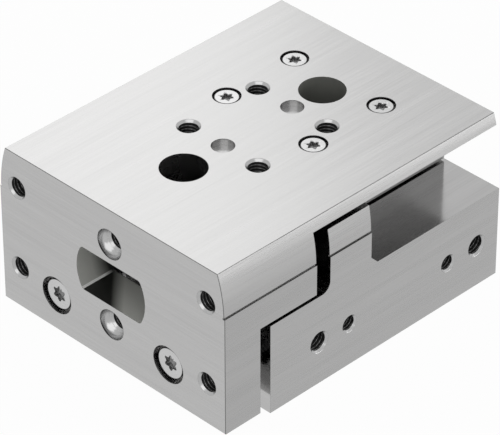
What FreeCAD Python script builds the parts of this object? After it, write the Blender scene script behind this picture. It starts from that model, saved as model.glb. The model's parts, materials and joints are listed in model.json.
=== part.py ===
import FreeCAD, Part
import math
import os
from FreeCAD import Vector

# Twin-piston pneumatic slide table, slide retracted.
# X is across, -Y is the way the slide extends, Z is up from the mounting face.

# Travel of the slide
stroke = 20.0

# Cylinder bores and the walls round them, which set the width and the deck height
bore_dia = 16.0
bore_pitch = 32.9
side_wall = 8.25
floor_wall = 2.3
deck_wall = 3.5
guide_hgt = 11.2          # housing deck to the underside of the table's middle
table_mid_thk = 7.0

# Outer section shared by the slide and the housing
bevel_line_z = 29.9       # the side turns from upright to bevel here
bevel_foot_inset = 0.25
bevel_top_inset = 2.0
bevel_groove_hgt = 0.35
bevel_groove_depth = 0.6
edge_chamfer = 0.1

# Slide: yoke plate, table plate, legs round the guide, side skirts
yoke_thk = 9.8
yoke_gap = 2.8            # yoke to housing with the slide retracted
yoke_bottom_z = 1.6       # the yoke hangs clear of the mounting face
table_rear_inset = 0.4
table_edge_thk = 2.7
leg_thk = 2.8
leg_gap = 0.5             # leg to housing deck
skirt_len = 15.9
skirt_thk = 10.0
skirt_gap = 0.85          # skirt to housing deck

# Yoke window, a round hole with flats above and below
window_dia = 20.0
window_hgt = 10.6
window_z = 21.5
window_corner = 1.0
window_rear_chamfer = 1.0

# Threads in the yoke face, and its two centring holes
yoke_thread_dia = 5.0
yoke_thread_edge = 5.2    # from each side
yoke_thread_pitch_z = 20.0
yoke_thread_low_z = 11.6
thread_chamfer = 0.1
thread_exit_chamfer = 0.8  # at the back of the yoke
centring_dia = 7.0
centring_depth = 1.1
centring_pitch_z = 20.0

# Table top: threads, dowel holes and rows of rail screws, measured from the yoke front
table_thread_dia = 5.0
table_thread_depth = 6.0
table_thread_pitch_x = 20.0
table_thread_pitch_y = 20.0
table_thread_first = 31.8
dowel_dia = 5.0
dowel_depth = 1.5
rail_screw_edge = 2.2     # from the slide rail's outer side
rail_screw_pitch_y = 20.0
rail_screw_first = 45.2

# Housing
block_front_gap = 3.86    # skirt to the raised block
block_len = 11.9
block_top_gap = 1.05
block_side_gap = 0.8
block_fillet = 2.3
block_chamfer = 1.9

# Mounting holes through the housing, reached through the table
mount_first = 20.7        # from the yoke front
mount_pitch = 40.0
mount_hole_dia = 5.5
mount_head_dia = 9.0
mount_seat_z = 13.8
access_dia = 10.1
sleeve_dia = 7.0          # centring sleeve seat in the mounting face
sleeve_depth = 1.6

# Side threads: supply ports and accessory threads
port_dia = 5.0
port_depth = 6.0
passage_dia = 3.0
accessory_dia = 4.0
accessory_depth = 6.0
accessory_offset = 8.8    # from each port towards the middle

# Sensor slots in the other side
sensor_slot_dia = 3.7
sensor_mouth_wid = 2.5
sensor_slot_inset = 2.1
sensor_slot_pitch = 8.0

# Cylinders
rod_dia = 8.0
clip_inset = 0.9
clip_thk = 1.0
clip_groove_depth = 0.5
clip_radial_wid = 1.5
clip_lug_dia = 2.6
clip_lug_hole_dia = 1.0
clip_opening = 50.0       # degrees
gland_len = 10.6
gland_lip = 1.2
rod_seal_wid = 2.6
rod_seal_wall = 2.0       # from the rod to the outside of its seal
bush_wall = 1.0
gland_web = 1.6           # between the rod seal and the bush
oring_wid = 1.6
oring_depth = 1.1
oring_inset = 6.0
cap_len = 3.0
cap_puller_dia = 3.0
cap_puller_depth = 2.0
cap_oring_inset = 0.7
cushion_len = 2.5
cushion_wall = 1.8        # from the rod to the outside of the cushion

# Pistons
piston_len = 24.9
magnet_len = 4.0
magnet_wall = 2.4
seal_inset = 2.0
seal_wid = 2.2
seal_depth = 1.6
guide_depth = 0.8
guide_share = 0.4         # of the land between seal and magnet
spigot_dia = 5.0
spigot_end_gap = 0.4
nut_flats = 8.0
nut_hgt = 3.6
nut_recess = 4.0
nut_recess_dia = 9.8

# Ball guide
fixed_rail_half_wid = 8.0
fixed_rail_end_inset = 0.6
fixed_rail_top_gap = 0.8
rail_key_depth = 1.0
rail_space = 1.0          # between fixed and moving rail
slide_rail_end = 12.0     # rail beyond its screws at each end
slide_rail_wid = 5.7
slide_rail_gap = 0.8      # slide rail to housing deck
ball_dia = 2.5
ball_axis_hgt = 5.2       # above the deck
balls_per_cage = 6
cage_thk = 0.5
cage_hgt = 5.6
cage_end_gap = 0.5
cage_ball_edge = 2.5
stop_thk = 1.0
stop_hgt = 7.0
stop_clear = 0.4

# Screws: thread, head and socket sizes
m3_dia = 3.0
m3_head_dia = 5.5
m3_head_hgt = 2.4
m3_len = 8.0
m3_counterbore_dia = 6.15
m3_sunk = 0.25
m4_dia = 4.0
m4_head_dia = 7.0
m4_head_hgt = 3.1
m4_len = 15.0
m4_counterbore_dia = 8.6
m4_sunk = 0.6
cap_head_dia = 5.5
cap_head_hgt = 3.0
cap_len_under = 13.0
cap_hex = 2.5
m2_dia = 2.0
m2_head_dia = 3.8
m2_head_hgt = 1.2
m2_len = 4.0
m2_slot_wid = 0.5
m2_slot_depth = 0.6
head_chamfer = 0.3
lobe_m3 = (2.74, 1.98, 0.229)   # six-lobe socket: outer, inner and lobe radius
lobe_m4 = (3.86, 2.79, 0.305)
lobe_depth = 1.3

# Fits
running = 0.05            # radial, rod in bush, piston and seals in the bore
ball_clear = 0.03
fixed_fit = 0.02          # radial, pieces that sit still in each other
screw_clear = 0.2         # radial, screw through a plain hole
thread_clear = 0.03       # radial, screw in its own thread
end_clear = 0.05          # piston to cushion, seals in their grooves

# Places that follow from the sizes above
overall_wid = bore_pitch + bore_dia + 2 * side_wall
half_wid = overall_wid / 2
bore_z = floor_wall + bore_dia / 2
deck_z = bore_z + bore_dia / 2 + deck_wall
overall_hgt = deck_z + guide_hgt + table_mid_thk
bush_len = gland_len - gland_lip - rod_seal_wid - gland_web
bush_dia = rod_dia + 2 * bush_wall
rod_seal_dia = rod_dia + 2 * rod_seal_wall
cushion_dia = rod_dia + 2 * cushion_wall
yoke_thread_pitch_x = overall_wid - 2 * yoke_thread_edge
gland_stack = clip_inset + clip_thk + gland_len
cap_stack = clip_inset + clip_thk + cap_len
chamber_len = piston_len + stroke + 2 * (cushion_len + end_clear)
housing_len = gland_stack + chamber_len + cap_stack
overall_len = yoke_thk + yoke_gap + housing_len
front_y = -overall_len / 2
yoke_rear_y = front_y + yoke_thk
housing_y = yoke_rear_y + yoke_gap
rear_y = overall_len / 2
table_rear_y = rear_y - table_rear_inset
table_under_z = overall_hgt - table_edge_thk
mid_under_z = overall_hgt - table_mid_thk
leg_bottom_z = deck_z + leg_gap
gland_y = housing_y + clip_inset + clip_thk
gland_rear_y = gland_y + gland_len
cap_y = rear_y - cap_stack
cap_rear_y = cap_y + cap_len
port_front_y = gland_rear_y + passage_dia / 2
port_rear_y = cap_y - passage_dia / 2
piston_rear_y = cap_y - cushion_len - end_clear
piston_y = piston_rear_y - piston_len
magnet_y = piston_y + (piston_len - magnet_len) / 2
magnet_rear_y = magnet_y + magnet_len
bore_x = bore_pitch / 2
rail_screw_ys = [front_y + rail_screw_first + i * rail_screw_pitch_y for i in range(2)]
slide_rail_y = rail_screw_ys[0] - slide_rail_end
slide_rail_rear_y = rail_screw_ys[1] + slide_rail_end
mount_ys = [front_y + mount_first + i * mount_pitch for i in range(2)]
fixed_screw_ys = [mount_ys[0] + (i + 0.5) * mount_pitch / 2 for i in range(3)]
key_z = deck_z - rail_key_depth
fixed_rail_top_z = mid_under_z - fixed_rail_top_gap
slide_rail_x = fixed_rail_half_wid + rail_space
slide_rail_outer_x = slide_rail_x + slide_rail_wid
leg_half_wid = slide_rail_outer_x + leg_thk
rail_screw_pitch_x = 2 * (slide_rail_outer_x - rail_screw_edge)
ball_x = fixed_rail_half_wid + rail_space / 2
ball_z = deck_z + ball_axis_hgt
cage_len = slide_rail_rear_y - slide_rail_y - stroke / 2 - 2 * cage_end_gap
cage_y = slide_rail_y + cage_end_gap
block_y = yoke_rear_y + skirt_len + block_front_gap
block_top_z = table_under_z - block_top_gap


def box(x0, x1, y0, y1, z0, z1):
    return Part.makeBox(x1 - x0, y1 - y0, z1 - z0, Vector(x0, y0, z0))


def cyl_x(x, y, z, dia, length):
    return Part.makeCylinder(dia / 2, length, Vector(x, y, z), Vector(1, 0, 0))


def cyl_y(x, y, z, dia, length):
    return Part.makeCylinder(dia / 2, length, Vector(x, y, z), Vector(0, 1, 0))


def cyl_z(x, y, z, dia, length):
    return Part.makeCylinder(dia / 2, length, Vector(x, y, z), Vector(0, 0, 1))


def turned(x, z, profile):
    """A solid of revolution about the Y line through x, z, from (y, radius) corners."""
    corners = [Vector(x + radius, y, z) for y, radius in profile]
    face = Part.Face(Part.makePolygon(corners + corners[:1]))
    return face.revolve(Vector(x, 0, z), Vector(0, 1, 0), 360)


def ring(x, z, y0, y1, outer_r, inner_r):
    return turned(x, z, [(y0, inner_r), (y0, outer_r), (y1, outer_r), (y1, inner_r)])


def prism(outline, y0, y1):
    """An outline of edges in the XZ plane at y = 0, drawn out from y0 to y1."""
    face = Part.Face(Part.Wire(outline))
    face.translate(Vector(0, y0, 0))
    return face.extrude(Vector(0, y1 - y0, 0))


def mirrored(shape):
    return shape.mirror(Vector(0, 0, 0), Vector(1, 0, 0))


def save(name, solids):
    shape = solids[0] if len(solids) == 1 else Part.makeCompound(solids)
    shape.exportStep("parts/" + name + ".step")
    print(name, len(solids), round(shape.Volume, 2))


def save_pair(name, right):
    save(name + "_right", [right])
    save(name + "_left", [mirrored(right)])


def bevel_x(z):
    """Half width of the outer section on the bevel, an arc that leaves the side upright."""
    rise = overall_hgt - bevel_line_z
    fall = bevel_top_inset - bevel_foot_inset
    radius = (rise * rise + fall * fall) / (2 * fall)
    up = z - bevel_line_z
    return half_wid - bevel_foot_inset - radius + math.sqrt(radius * radius - up * up)


def bevel_arc(side, z0, z1):
    points = [Vector(side * bevel_x(z), 0, z) for z in (z0, (z0 + z1) / 2, z1)]
    return Part.Arc(*points).toShape()


def lines(*corners):
    return [Part.makeLine(Vector(a[0], 0, a[1]), Vector(b[0], 0, b[1]))
            for a, b in zip(corners, corners[1:])]


def top_edge(side, from_z):
    """The bevel from from_z up to the small chamfer at the table top."""
    under_z = overall_hgt - edge_chamfer
    chamfer = lines((side * bevel_x(under_z), under_z), (side * top_half_wid(), overall_hgt))
    return [bevel_arc(side, from_z, under_z)] + chamfer


def top_half_wid():
    return bevel_x(overall_hgt - edge_chamfer) - edge_chamfer


def upright_edges(side, bottom_z):
    """The outer side up to the foot of the bevel, where it steps in."""
    foot = (side * bevel_x(bevel_line_z), bevel_line_z)
    return lines((side * half_wid, bottom_z), (side * half_wid, bevel_line_z), foot)


def bevel_grooves(y0, y1):
    groove = box(half_wid - bevel_groove_depth, half_wid + 1, y0, y1,
                 bevel_line_z, bevel_line_z + bevel_groove_hgt)
    return [groove, mirrored(groove)]


def threaded(axis, x, y, z, dia, depth):
    """A thread hole at its nominal size, going in from the point, with a small chamfer."""
    at = Vector(x, y, z) - axis * 1.0
    hole = Part.makeCylinder(dia / 2, depth + 1.0, at, axis)
    mouth = Part.makeCone(dia / 2 + thread_chamfer, dia / 2, thread_chamfer, Vector(x, y, z), axis)
    return hole.fuse(mouth)


def six_lobe(sizes, depth):
    """A six-lobe socket cutter along +Z from the origin, made of twelve tangent arcs."""
    outer_dia, inner_dia, lobe_r = sizes
    lobe_at = outer_dia / 2 - lobe_r
    inner_r = inner_dia / 2
    cos30 = math.cos(math.radians(30))
    valley_r = (lobe_at ** 2 + inner_r ** 2 - 2 * lobe_at * cos30 * inner_r - lobe_r ** 2) / (
        2 * (lobe_r + lobe_at * cos30 - inner_r))
    share = lobe_r / (lobe_r + valley_r)
    edges = []

    def at(radius, degrees):
        turn = math.radians(degrees)
        return Vector(radius * math.cos(turn), radius * math.sin(turn), 0)

    def joint(lobe_deg, valley_deg):
        lobe = at(lobe_at, lobe_deg)
        return lobe + (at(inner_r + valley_r, valley_deg) - lobe) * share

    for i in range(6):
        lobe = 60 * i
        start = joint(lobe, lobe - 30)
        middle = joint(lobe, lobe + 30)
        end = joint(lobe + 60, lobe + 30)
        edges.append(Part.Arc(start, at(outer_dia / 2, lobe), middle).toShape())
        edges.append(Part.Arc(middle, at(inner_r, lobe + 30), end).toShape())
    return Part.Face(Part.Wire(edges)).extrude(Vector(0, 0, depth))


def cheese_screw(dia, length, head_dia, head_hgt, sizes):
    """A cheese-head screw pointing down -Z, its head's underside at the origin."""
    head = Part.makeCylinder(head_dia / 2, head_hgt - head_chamfer)
    crown = Part.makeCone(head_dia / 2, head_dia / 2 - head_chamfer, head_chamfer,
                          Vector(0, 0, head_hgt - head_chamfer))
    shank = Part.makeCylinder(dia / 2, length, Vector(0, 0, -length))
    socket = six_lobe(sizes, lobe_depth)
    socket.translate(Vector(0, 0, head_hgt - lobe_depth))
    return head.fuse([crown, shank]).removeSplitter().cut(socket)


def cap_screw():
    """A socket cap screw pointing down -Z, its head's underside at the origin."""
    head = Part.makeCylinder(cap_head_dia / 2, cap_head_hgt)
    shank = Part.makeCylinder(m3_dia / 2, cap_len_under, Vector(0, 0, -cap_len_under))
    return head.fuse(shank).cut(hexagon(cap_hex, cap_head_hgt / 2, cap_head_hgt / 2))


def hexagon(flats, base, height):
    radius = flats / math.sqrt(3)
    corners = [Vector(radius * math.cos(math.radians(60 * i)), radius * math.sin(math.radians(60 * i)), base)
               for i in range(7)]
    return Part.Face(Part.makePolygon(corners)).extrude(Vector(0, 0, height))


def placed(shape, x, y, z, axis=None):
    """A copy with its +Z turned to the axis and its origin moved to the point."""
    turn = FreeCAD.Rotation(Vector(0, 0, 1), axis) if axis else FreeCAD.Rotation()
    copy = shape.copy()
    copy.Placement = FreeCAD.Placement(Vector(x, y, z), turn)
    return copy


def grid(pitch_x, pitch_y):
    return [(sx * pitch_x / 2, sy * pitch_y / 2) for sx in (-1, 1) for sy in (-1, 1)]


def yoke():
    outline = lines((-half_wid, yoke_bottom_z), (half_wid, yoke_bottom_z))
    outline += lines((-top_half_wid(), overall_hgt), (top_half_wid(), overall_hgt))
    for side in (1, -1):
        outline += upright_edges(side, yoke_bottom_z) + top_edge(side, bevel_line_z)
    plate = prism(Part.__sortEdges__(outline), front_y, yoke_rear_y)
    front_edges = [e for e in plate.Edges if e.BoundBox.YMax < front_y + 0.001]
    plate = plate.makeChamfer(edge_chamfer, front_edges).cut(window())
    return plate.makeChamfer(window_rear_chamfer, window_rear_edges(plate))


def table():
    edge_x = bevel_x(table_under_z)
    leg_in_x = leg_half_wid - leg_thk
    outline = lines((-top_half_wid(), overall_hgt), (top_half_wid(), overall_hgt))
    for side in (1, -1):
        outline += top_edge(side, table_under_z)
        outline += lines((side * edge_x, table_under_z), (side * leg_half_wid, table_under_z),
                         (side * leg_half_wid, leg_bottom_z), (side * leg_in_x, leg_bottom_z),
                         (side * leg_in_x, mid_under_z))
    outline += lines((-leg_in_x, mid_under_z), (leg_in_x, mid_under_z))
    return prism(Part.__sortEdges__(outline), yoke_rear_y, table_rear_y)


def skirt(side):
    bottom_z = deck_z + skirt_gap
    inner_x = side * (half_wid - skirt_thk)
    outline = upright_edges(side, bottom_z) + [bevel_arc(side, bevel_line_z, table_under_z)]
    outline += lines((side * bevel_x(table_under_z), table_under_z), (inner_x, table_under_z),
                     (inner_x, bottom_z), (side * half_wid, bottom_z))
    return prism(Part.__sortEdges__(outline), yoke_rear_y, yoke_rear_y + skirt_len)


def window():
    round_hole = cyl_y(0, front_y - 1, window_z, window_dia, yoke_thk + 2)
    flats = box(-window_dia, window_dia, front_y - 2, yoke_rear_y + 2,
                window_z - window_hgt / 2, window_z + window_hgt / 2)
    opening = round_hole.common(flats)
    corners = [e for e in opening.Edges if e.BoundBox.YLength > yoke_thk and abs(e.BoundBox.XMax) > 1]
    return opening.makeFillet(window_corner, corners)


def window_rear_edges(plate):
    """The edges round the window at the back of the yoke plate."""
    reach_x = window_dia / 2 + 0.001
    reach_z = window_hgt / 2 + 0.001
    edges = []
    for edge in plate.Edges:
        span = edge.BoundBox
        if span.YMin > yoke_rear_y - 0.001 and max(-span.XMin, span.XMax) < reach_x:
            if max(window_z - span.ZMin, span.ZMax - window_z) < reach_z:
                edges.append(edge)
    return edges


def thread_exit(x, z):
    """The chamfer where a thread comes out at the back of the yoke plate."""
    inner_r = yoke_thread_dia / 2
    return Part.makeCone(inner_r, inner_r + thread_exit_chamfer, thread_exit_chamfer,
                         Vector(x, yoke_rear_y - thread_exit_chamfer, z), Vector(0, 1, 0))


def yoke_holes():
    inward = Vector(0, 1, 0)
    cuts = []
    for x, dz in grid(yoke_thread_pitch_x, yoke_thread_pitch_z):
        z = yoke_thread_low_z + yoke_thread_pitch_z / 2 + dz
        cuts.append(threaded(inward, x, front_y, z, yoke_thread_dia, yoke_thk + 1))
    for step in (-1, 1):
        z = window_z + step * centring_pitch_z / 2
        thread_r = yoke_thread_dia / 2
        seat_r = centring_dia / 2
        cone_y = front_y + centring_depth
        cuts.append(turned(0, z, [(front_y - 1, 0), (front_y - 1, seat_r), (cone_y, seat_r),
                                  (cone_y + seat_r - thread_r, thread_r), (yoke_rear_y + 1, thread_r),
                                  (yoke_rear_y + 1, 0)]))
    cuts.append(thread_exit(0, window_z - centring_pitch_z / 2))
    for side in (-1, 1):
        cuts.append(thread_exit(side * yoke_thread_pitch_x / 2, yoke_thread_low_z))
        cuts.append(cyl_y(side * bore_x, front_y - 1, bore_z, m4_counterbore_dia, 1 + m4_sunk + m4_head_hgt))
        cuts.append(cyl_y(side * bore_x, front_y, bore_z, m4_dia + 2 * screw_clear, yoke_thk + 1))
    return cuts


def table_holes():
    inward = Vector(0, 0, -1)
    cuts = []
    thread_mid_y = front_y + table_thread_first + table_thread_pitch_y / 2
    for x, dy in grid(table_thread_pitch_x, table_thread_pitch_y):
        cuts.append(threaded(inward, x, thread_mid_y + dy, overall_hgt, table_thread_dia, table_thread_depth))
    for step in (-1, 1):
        y = thread_mid_y + step * table_thread_pitch_y / 2
        cuts.append(cyl_z(0, y, overall_hgt - dowel_depth, dowel_dia, dowel_depth + 1))
    for y in mount_ys:
        cuts.append(cyl_z(0, y, mid_under_z - 1, access_dia, table_mid_thk + 2))
    for y in rail_screw_ys:
        for side in (-1, 1):
            x = side * rail_screw_pitch_x / 2
            seat_z = overall_hgt - m3_sunk - m3_head_hgt
            cuts.append(cyl_z(x, y, seat_z, m3_counterbore_dia, m3_sunk + m3_head_hgt + 1))
            cuts.append(cyl_z(x, y, mid_under_z - 1, m3_dia + 2 * screw_clear, table_mid_thk))
    return cuts


def slide_table():
    body = yoke().fuse([table(), skirt(1), skirt(-1)]).removeSplitter()
    return body.cut(bevel_grooves(front_y - 1, table_rear_y + 1) + yoke_holes() + table_holes())


def block(side):
    """Raised stop block: hollow fillet at its front foot, chamfer at its rear foot."""
    inner_x = side * (leg_half_wid + block_side_gap)
    outline = upright_edges(side, deck_z) + [bevel_arc(side, bevel_line_z, block_top_z)]
    outline += lines((side * bevel_x(block_top_z), block_top_z), (inner_x, block_top_z),
                     (inner_x, deck_z), (side * half_wid, deck_z))
    body = prism(Part.__sortEdges__(outline), block_y, block_y + block_len)
    x0, x1 = sorted((inner_x, side * half_wid))
    foot = box(x0, x1, block_y - block_fillet, block_y, deck_z, deck_z + block_fillet)
    hollow = cyl_x(x0 - 1, block_y - block_fillet, deck_z + block_fillet, 2 * block_fillet, x1 - x0 + 2)
    foot = foot.cut(hollow)
    rear = block_y + block_len
    corners = [Vector(x0, rear, deck_z), Vector(x0, rear + block_chamfer, deck_z),
               Vector(x0, rear, deck_z + block_chamfer), Vector(x0, rear, deck_z)]
    wedge = Part.Face(Part.makePolygon(corners)).extrude(Vector(x1 - x0, 0, 0))
    return body.fuse([foot, wedge])


def cylinder_cuts(x):
    cuts = [cyl_y(x, housing_y - 1, bore_z, bore_dia, housing_len + 2)]
    for y in (housing_y + clip_inset, rear_y - clip_inset - clip_thk):
        groove_dia = bore_dia + 2 * clip_groove_depth
        cuts.append(cyl_y(x, y - end_clear, bore_z, groove_dia, clip_thk + 2 * end_clear))
    return cuts


def port_cuts():
    inward = Vector(-1, 0, 0)
    cuts = []
    for port_y, towards in ((port_front_y, 1), (port_rear_y, -1)):
        cuts.append(threaded(inward, half_wid, port_y, bore_z, port_dia, port_depth))
        cuts.append(cyl_x(-bore_x, port_y, bore_z, passage_dia, bore_x + half_wid - port_depth + 1))
        accessory_y = port_y + towards * accessory_offset
        cuts.append(threaded(inward, half_wid, accessory_y, bore_z, accessory_dia, accessory_depth))
    return cuts


def mount_cuts():
    cuts = []
    for y in mount_ys:
        cuts.append(cyl_z(0, y, -1, mount_hole_dia, deck_z + 2))
        cuts.append(cyl_z(0, y, mount_seat_z, mount_head_dia, deck_z))
        cuts.append(cyl_z(0, y, -1, sleeve_dia, sleeve_depth + 1))
    thread_depth = cap_len_under + cap_head_hgt - (fixed_rail_top_z - key_z) + 2
    for y in fixed_screw_ys:
        cuts.append(cyl_z(0, y, key_z - thread_depth, m3_dia + 2 * thread_clear, thread_depth + 1))
    return cuts


def sensor_slots():
    cuts = []
    for step in (-1, 1):
        z = bore_z + step * sensor_slot_pitch / 2
        x = -half_wid + sensor_slot_inset
        cuts.append(cyl_y(x, housing_y - 1, z, sensor_slot_dia, housing_len + 2))
        half = sensor_mouth_wid / 2
        cuts.append(box(-half_wid - 1, x, housing_y - 1, rear_y + 1, z - half, z + half))
    return cuts


def housing():
    base = box(-half_wid, half_wid, housing_y, rear_y, 0, deck_z)
    body = base.fuse([block(1), block(-1)]).removeSplitter()
    key_half = fixed_rail_half_wid + fixed_fit
    key = box(-key_half, key_half, housing_y - 1, rear_y + 1, key_z, deck_z + 1)
    cuts = [key] + bevel_grooves(housing_y, rear_y) + port_cuts() + mount_cuts() + sensor_slots()
    return body.cut(cuts + cylinder_cuts(bore_x) + cylinder_cuts(-bore_x))


def vee(x, z, towards, y0, y1):
    """Cutter of a 90 degree ball groove, its flanks one ball radius and clearance from the ball centre."""
    reach = (ball_dia / 2 + ball_clear) * math.sqrt(2)
    corners = [Vector(x + towards * reach, y0, z), Vector(x, y0, z + reach),
               Vector(x, y0, z - reach), Vector(x + towards * reach, y0, z)]
    return Part.Face(Part.makePolygon(corners)).extrude(Vector(0, y1 - y0, 0))


def guide_rail():
    y0 = housing_y + fixed_rail_end_inset
    y1 = rear_y - fixed_rail_end_inset
    body = box(-fixed_rail_half_wid, fixed_rail_half_wid, y0, y1, key_z, fixed_rail_top_z)
    cuts = [vee(ball_x, ball_z, -1, y0 - 1, y1 + 1), vee(-ball_x, ball_z, 1, y0 - 1, y1 + 1)]
    for y in mount_ys:
        cuts.append(cyl_z(0, y, key_z - 1, mount_head_dia, fixed_rail_top_z - key_z + 2))
    for y in fixed_screw_ys:
        cuts.append(cyl_z(0, y, key_z - 1, m3_dia + 2 * screw_clear, fixed_rail_top_z - key_z + 2))
        seat_z = fixed_rail_top_z - cap_head_hgt
        cuts.append(cyl_z(0, y, seat_z, cap_head_dia + 2 * screw_clear, cap_head_hgt + 1))
    return body.cut(cuts)


def slide_rail():
    body = box(slide_rail_x, slide_rail_outer_x, slide_rail_y, slide_rail_rear_y,
               deck_z + slide_rail_gap, mid_under_z)
    cuts = [vee(ball_x, ball_z, 1, slide_rail_y - 1, slide_rail_rear_y + 1)]
    depth = m3_len - cover_under_head()
    for y in rail_screw_ys:
        cuts.append(cyl_z(rail_screw_pitch_x / 2, y, mid_under_z - depth - end_clear,
                          m3_dia + 2 * thread_clear, depth + 1))
    for y in (slide_rail_y - 1, slide_rail_rear_y - m2_len - end_clear):
        cuts.append(cyl_y(stop_screw_x(), y, ball_z, m2_dia + 2 * thread_clear, m2_len + end_clear + 1))
    return body.cut(cuts)


def cover_under_head():
    """Thickness of the table under a rail screw's head."""
    return table_mid_thk - m3_sunk - m3_head_hgt


def stop_screw_x():
    groove_x = ball_x + (ball_dia / 2 + ball_clear) * math.sqrt(2)
    return (groove_x + slide_rail_outer_x) / 2


def cage_stop(y):
    x0 = fixed_rail_half_wid + stop_clear
    body = box(x0, slide_rail_outer_x, y, y + stop_thk, ball_z - stop_hgt / 2, ball_z + stop_hgt / 2)
    return body.cut(cyl_y(stop_screw_x(), y - 1, ball_z, m2_dia + 2 * thread_clear, stop_thk + 2))


def stop_screw():
    head = Part.makeCylinder(m2_head_dia / 2, m2_head_hgt)
    length = m2_len + stop_thk
    slot = Part.makeBox(m2_head_dia, m2_slot_wid, m2_slot_depth,
                        Vector(-m2_head_dia / 2, -m2_slot_wid / 2, m2_head_hgt - m2_slot_depth))
    return head.cut(slot).fuse(Part.makeCylinder(m2_dia / 2, length, Vector(0, 0, -length)))


def ball_cage():
    body = box(ball_x - cage_thk / 2, ball_x + cage_thk / 2, cage_y, cage_y + cage_len,
               ball_z - cage_hgt / 2, ball_z + cage_hgt / 2)
    return body.cut([cyl_x(ball_x - cage_thk, y, ball_z, ball_dia + 2 * ball_clear, 2 * cage_thk)
                     for y in ball_ys()])


def ball_ys():
    first = cage_y + cage_ball_edge
    pitch = (cage_len - 2 * cage_ball_edge) / (balls_per_cage - 1)
    return [first + i * pitch for i in range(balls_per_cage)]


def circlip(x, y, z):
    """Inside retaining ring with a gap and two drilled lugs, its opening downwards."""
    outer = bore_dia / 2 + clip_groove_depth - fixed_fit
    inner = bore_dia / 2 - clip_radial_wid
    band = ring(x, z, y, y + clip_thk, outer, inner)
    half = math.radians(clip_opening / 2)
    reach = 2 * outer
    corners = [Vector(x, y - 1, z), Vector(x - reach * math.sin(half), y - 1, z - reach * math.cos(half)),
               Vector(x + reach * math.sin(half), y - 1, z - reach * math.cos(half)), Vector(x, y - 1, z)]
    band = band.cut(Part.Face(Part.makePolygon(corners)).extrude(Vector(0, clip_thk + 2, 0)))
    lug_at = inner
    for side in (-1, 1):
        turn = half + math.asin(clip_lug_dia / 2 / lug_at)
        lug_x = x + side * lug_at * math.sin(turn)
        lug_z = z - lug_at * math.cos(turn)
        lug = cyl_y(lug_x, y, lug_z, clip_lug_dia, clip_thk)
        band = band.fuse(lug).cut(cyl_y(lug_x, y - 1, lug_z, clip_lug_hole_dia, clip_thk + 2))
    return band


def gland():
    hole_r = rod_dia / 2 + screw_clear
    seal_r = rod_seal_dia / 2
    body_r = bore_dia / 2 - fixed_fit
    seal_y = gland_y + gland_lip
    bush_y = gland_rear_y - bush_len
    oring_y = gland_y + oring_inset
    return turned(bore_x, bore_z, [
        (gland_y, hole_r), (seal_y, hole_r), (seal_y, seal_r), (seal_y + rod_seal_wid, seal_r),
        (seal_y + rod_seal_wid, hole_r), (bush_y, hole_r), (bush_y, bush_dia / 2),
        (gland_rear_y, bush_dia / 2), (gland_rear_y, body_r), (oring_y + oring_wid, body_r),
        (oring_y + oring_wid, body_r - oring_depth), (oring_y, body_r - oring_depth), (oring_y, body_r),
        (gland_y, body_r)])


def gland_bush():
    return ring(bore_x, bore_z, gland_rear_y - bush_len, gland_rear_y,
                bush_dia / 2 - fixed_fit, rod_dia / 2 + running)


def rod_seal():
    """Lip seal: a ring with a notch in its pressure side."""
    inner = rod_dia / 2 + running
    outer = rod_seal_dia / 2 - fixed_fit
    y0 = gland_y + gland_lip + end_clear
    y1 = gland_y + gland_lip + rod_seal_wid - end_clear
    middle = (inner + outer) / 2
    notch = (outer - inner) / 4
    return turned(bore_x, bore_z, [(y0, inner), (y0, outer), (y1, outer), (y1, middle + notch),
                                   (y1 - 2 * notch, middle), (y1, middle - notch), (y1, inner)])


def oring(y):
    outer = bore_dia / 2 - fixed_fit / 2
    return ring(bore_x, bore_z, y + end_clear, y + oring_wid - end_clear,
                outer, bore_dia / 2 - oring_depth)


def front_cushion():
    return ring(bore_x, bore_z, gland_rear_y, gland_rear_y + cushion_len,
                cushion_dia / 2, rod_dia / 2 + screw_clear)


def rear_cushion():
    return cyl_y(bore_x, cap_y - cushion_len, bore_z, cushion_dia, cushion_len)


def end_cap():
    body_r = bore_dia / 2 - fixed_fit
    groove_y = cap_y + cap_oring_inset
    body = turned(bore_x, bore_z, [
        (cap_y, 0), (cap_y, body_r), (groove_y, body_r), (groove_y, body_r - oring_depth),
        (groove_y + oring_wid, body_r - oring_depth), (groove_y + oring_wid, body_r),
        (cap_rear_y, body_r), (cap_rear_y, 0)])
    puller_y = cap_rear_y - cap_puller_depth
    return body.cut(cyl_y(bore_x, puller_y, bore_z, cap_puller_dia, cap_puller_depth + 1))


def piston_rod():
    thread_len = m4_len - (yoke_thk - m4_sunk - m4_head_hgt) + 1
    thread_r = m4_dia / 2 + thread_clear
    thread_y = yoke_rear_y + thread_len
    end_y = piston_rear_y - spigot_end_gap
    return turned(bore_x, bore_z, [
        (yoke_rear_y, thread_r), (yoke_rear_y, rod_dia / 2), (piston_y, rod_dia / 2),
        (piston_y, spigot_dia / 2), (end_y, spigot_dia / 2), (end_y, 0), (thread_y, 0), (thread_y, thread_r)])


def guide_span():
    land_y = piston_y + seal_inset + seal_wid
    land = magnet_y - land_y
    start = land_y + land * (1 - guide_share) / 2
    return start, start + land * guide_share


def piston_front():
    body_r = bore_dia / 2 - 2 * running
    hole_r = spigot_dia / 2 + fixed_fit
    seal_y = piston_y + seal_inset
    guide_y, guide_end = guide_span()
    return turned(bore_x, bore_z, [
        (piston_y, hole_r), (piston_y, body_r), (seal_y, body_r), (seal_y, body_r - seal_depth),
        (seal_y + seal_wid, body_r - seal_depth), (seal_y + seal_wid, body_r),
        (guide_y, body_r), (guide_y, body_r - guide_depth), (guide_end, body_r - guide_depth),
        (guide_end, body_r), (magnet_y, body_r), (magnet_y, hole_r)])


def hub_radius():
    return bore_dia / 2 - 2 * running - magnet_wall - running


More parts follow.
